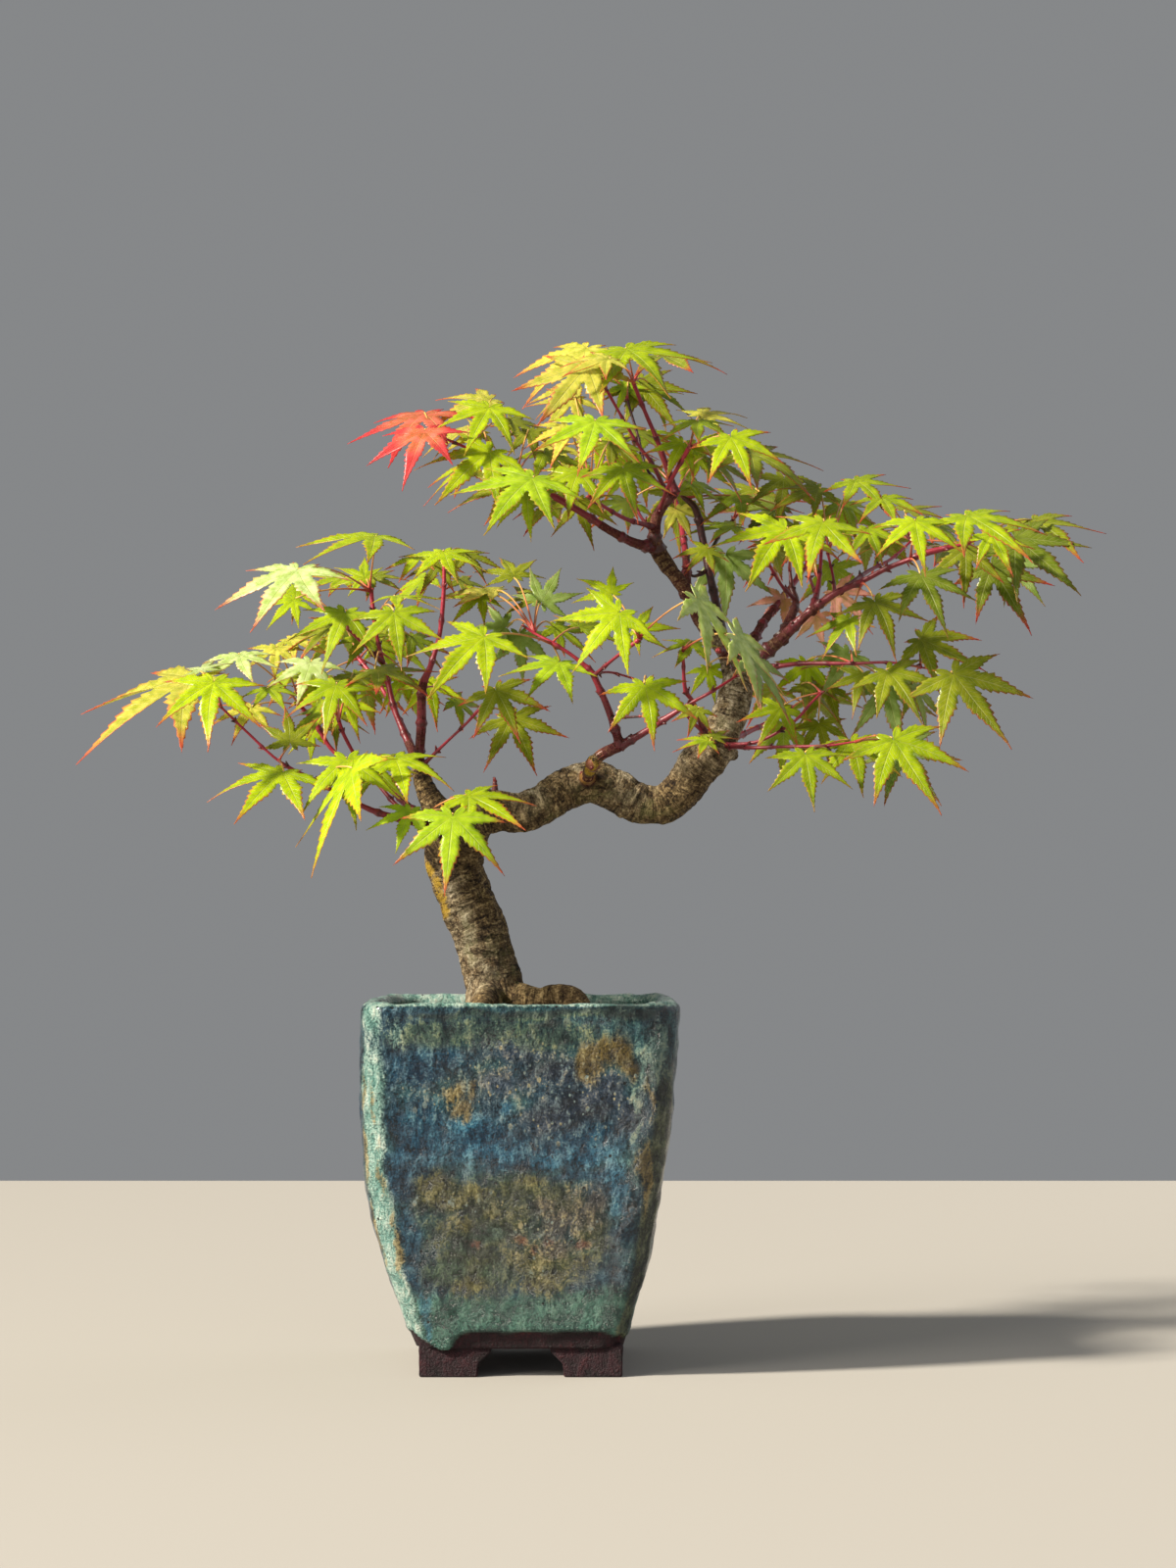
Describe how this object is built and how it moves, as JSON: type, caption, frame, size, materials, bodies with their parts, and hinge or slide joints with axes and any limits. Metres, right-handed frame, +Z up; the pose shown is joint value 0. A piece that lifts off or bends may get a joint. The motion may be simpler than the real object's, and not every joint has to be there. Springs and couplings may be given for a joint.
{
  "type": "coral bark japanese maple bonsai",
  "caption": "Small bent Japanese maple with coral red twigs and fine lobed leaves, in a square tapering glazed pot on four feet.",
  "frame": {"origin": "on the surface that the pot stands on, under the middle of the whole plant's outline", "axes": "+Z up, +Y from the front of the tree to its back, +X to the right as seen from the front, the way the crown leans"},
  "size_m": [0.3618, 0.1934, 0.358],
  "materials": {
    "glazed_stoneware": "satin",
    "mesh_plastic": "matte",
    "aluminium_wire": "satin",
    "baked_clay_soil": "matte",
    "bark": "matte",
    "leaf_lime": "satin",
    "leaf_yellow": "satin",
    "leaf_green": "satin",
    "leaf_coral": "satin"
  },
  "bodies": {
    "root": {"pot": "glazed_stoneware", "drainage_mesh": "mesh_plastic", "mesh_wire": "aluminium_wire", "soil": "baked_clay_soil", "trunk": "bark", "leaves_back_left_4": "leaf_green", "leaves_back_low_3": "leaf_green", "leaves_back_right_4": "leaf_green", "leaves_back_top_3": "leaf_lime", "leaves_crown_back_red_3": "leaf_lime", "leaves_crown_left_10": "leaf_coral", "leaves_crown_left_5": "leaf_green", "leaves_crown_left_6": "leaf_lime", "leaves_crown_left_7": "leaf_lime", "leaves_crown_left_8": "leaf_yellow", "leaves_crown_left_upper_3": "leaf_lime", "leaves_dark_riser_5": "leaf_green", "leaves_dark_riser_back_2": "leaf_green", "leaves_dark_riser_spur_2": "leaf_green", "leaves_leader_4": "leaf_lime", "leaves_left_back_5": "leaf_yellow", "leaves_left_front_2": "leaf_lime", "leaves_left_inner_4": "leaf_green", "leaves_left_inner_5": "leaf_green", "leaves_left_inner_6": "leaf_yellow", "leaves_left_inner_red_2": "leaf_green", "leaves_left_low_4": "leaf_lime", "leaves_left_low_5": "leaf_green", "leaves_left_low_7": "leaf_lime", "leaves_left_mid_5": "leaf_yellow", "leaves_left_outer_3": "leaf_green", "leaves_left_upright_2": "leaf_lime", "leaves_left_upright_6": "leaf_lime", "leaves_middle_fork_2": "leaf_lime", "leaves_middle_left_6": "leaf_lime", "leaves_middle_left_7": "leaf_green", "leaves_middle_right_6": "leaf_green", "leaves_middle_thin_3": "leaf_lime", "leaves_right_level_3": "leaf_green", "leaves_right_level_5": "leaf_green", "leaves_right_level_6": "leaf_green", "leaves_right_low_4": "leaf_lime", "leaves_right_lowest_3": "leaf_green", "leaves_right_lowest_4": "leaf_green", "leaves_right_main_4": "leaf_coral", "leaves_right_main_5": "leaf_green", "leaves_right_main_7": "leaf_lime", "leaves_right_main_9": "leaf_lime", "leaves_right_riser_4": "leaf_lime", "leaves_right_riser_back_2": "leaf_green", "leaves_right_riser_far_2": "leaf_green", "leaves_right_riser_left_2": "leaf_coral", "leaves_right_riser_mid_3": "leaf_lime", "leaves_right_upper_3": "leaf_green", "leaves_top_dark_3": "leaf_lime", "leaves_top_left_red_4": "leaf_yellow", "leaves_top_red_3": "leaf_lime", "leaves_top_right_red_2": "leaf_green", "leaves_trunk_20": "leaf_green", "leaves_trunk_twig_up_3": "leaf_green"}
  },
  "joints": []
}
